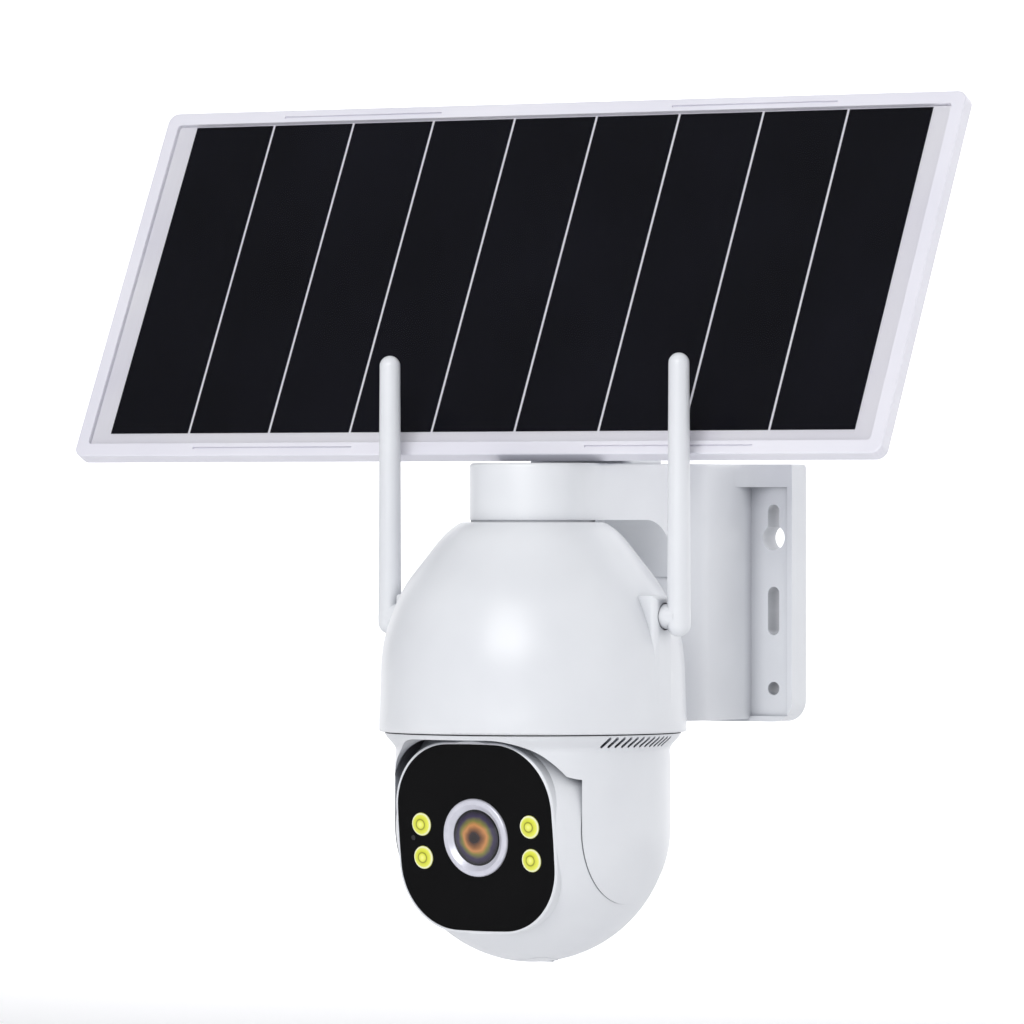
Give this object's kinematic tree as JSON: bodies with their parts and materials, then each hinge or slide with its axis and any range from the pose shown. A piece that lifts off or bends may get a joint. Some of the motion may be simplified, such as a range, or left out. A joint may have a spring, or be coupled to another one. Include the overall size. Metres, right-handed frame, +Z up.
{
  "type": "solar security camera",
  "caption": "Wall-mounted pan and tilt security camera under a dome, with twin antennas, lamps round the lens and a tilting solar panel above.",
  "frame": {"origin": "centre of the wall plate's back face, on the wall", "axes": "+Z up, +Y into the wall, +X to the right for someone facing the wall; the camera stands out towards -Y"},
  "size_m": [0.346, 0.178, 0.3167],
  "materials": {
    "white_abs": "satin moulded ABS",
    "panel_white": "gloss moulded ABS",
    "clear_sheet": "clear laminated sheet",
    "backsheet": "white laminate backsheet",
    "silicon": "coated silicon",
    "steel": "zinc plated",
    "motor_steel": "pressed plate",
    "rubber": "moulded rubber",
    "seal_grey": "moulded silicone",
    "board_green": "solder mask",
    "board_white": "white solder mask",
    "cell_wrap": "shrink wrap",
    "black_abs": "fine textured",
    "window_black": "polished",
    "acetal": "natural acetal",
    "ring_silver": "satin anodised",
    "lens_glass": "multi-coated",
    "reflector": "metallised yellow",
    "lamp_chip": "phosphor",
    "chip_dark": "moulded"
  },
  "bodies": {
    "fixed_mount": {"wall_bracket": "white_abs", "bracket_back_cover": "white_abs", "bracket_screws": "steel", "battery_holder": "black_abs", "battery_cells": "cell_wrap", "charge_board": "board_green", "cable_gland": "black_abs", "dome_housing": "white_abs", "neck_seal": "seal_grey", "dome_deck": "black_abs", "dome_screws": "steel", "main_board": "board_green", "pan_bush": "acetal", "pan_motor": "motor_steel", "pivot_base": "white_abs", "pivot_bolt": "steel"},
    "pan_pinion": {"pan_pinion": "acetal"},
    "pan_unit": {"pan_housing": "white_abs", "pan_hub": "acetal", "pan_gear": "acetal", "pan_screws": "steel", "pan_clip": "steel", "pivot_plates": "acetal", "tilt_gear": "acetal", "loudspeaker": "black_abs"},
    "camera_head": {"head_shell": "white_abs", "face_bezel": "white_abs", "front_window": "window_black", "window_seal": "rubber", "lens_ring": "ring_silver", "lens_barrel": "black_abs", "lens_elements": "lens_glass", "lens_holder": "black_abs", "sensor_board": "board_green", "image_sensor": "chip_dark", "led_board": "board_white", "board_fixings": "steel", "led_reflectors": "reflector", "led_chips": "lamp_chip", "light_sensor": "chip_dark", "head_bushes": "acetal", "tilt_motor": "motor_steel", "tilt_motor_bracket": "motor_steel", "card_door_pin": "steel", "card_socket": "steel"},
    "tilt_pinion": {"tilt_pinion": "acetal"},
    "card_door": {"card_door": "white_abs"},
    "reset_button": {"reset_button": "black_abs"},
    "antenna_left": {"antenna_left": "white_abs"},
    "antenna_right": {"antenna_right": "white_abs"},
    "solar_panel": {"panel_frame": "panel_white", "panel_backsheet": "backsheet", "solar_cells": "silicon", "panel_cover": "clear_sheet", "panel_back_cover": "panel_white", "junction_box": "panel_white", "panel_gland": "rubber", "panel_screws": "steel", "hinge_leaf": "white_abs"},
    "tilt_knob": {"tilt_knob": "black_abs"}
  },
  "joints": [
    {"name": "camera_pan", "type": "hinge", "parent": "fixed_mount", "child": "pan_unit", "pos_m": [0, -0.122, -0.03], "axis": [0, 0, 1], "range_deg": [-170, 180]},
    {"name": "pan_drive", "type": "hinge", "parent": "fixed_mount", "child": "pan_pinion", "pos_m": [0, -0.09308, -0.02], "axis": [0, 0, 1], "range_deg": [-900, 850]},
    {"name": "camera_tilt", "type": "hinge", "parent": "pan_unit", "child": "camera_head", "pos_m": [0, -0.122, -0.0835], "axis": [0.9962, -0.0872, 0], "range_deg": [-16, 74]},
    {"name": "tilt_drive", "type": "hinge", "parent": "camera_head", "child": "tilt_pinion", "pos_m": [0.03098, -0.10063, -0.08098], "axis": [0.9962, -0.0872, 0], "range_deg": [-400, 400]},
    {"name": "card_door_hinge", "type": "hinge", "parent": "camera_head", "child": "card_door", "pos_m": [0.00048, -0.11651, -0.1323], "axis": [0.9962, -0.0872, 0], "range_deg": [0, 100]},
    {"name": "reset_press", "type": "slide", "parent": "camera_head", "child": "reset_button", "axis": [0.0061, 0.0695, 0.9976], "range_m": [0, 0.0008], "stiffness_N_per_m": 250},
    {"name": "antenna_left_swing", "type": "hinge", "parent": "fixed_mount", "child": "antenna_left", "pos_m": [-0.058, -0.122, -0.0074], "axis": [1, 0, 0], "range_deg": [0, 180]},
    {"name": "antenna_right_swing", "type": "hinge", "parent": "fixed_mount", "child": "antenna_right", "pos_m": [0.058, -0.122, -0.0074], "axis": [1, 0, 0], "range_deg": [0, 180]},
    {"name": "panel_tilt", "type": "hinge", "parent": "fixed_mount", "child": "solar_panel", "pos_m": [0, -0.0768, 0.06495], "axis": [1, 0, 0], "range_deg": [-22, 0]},
    {"name": "clamp_knob_turn", "type": "hinge", "parent": "fixed_mount", "child": "tilt_knob", "pos_m": [0.02, -0.0768, 0.06495], "axis": [1, 0, 0], "range_deg": [0, 360]}
  ],
  "couplings": [
    {"joint": "pan_drive", "follows": "camera_pan", "ratio": -5},
    {"joint": "tilt_drive", "follows": "camera_tilt", "ratio": 4}
  ]
}
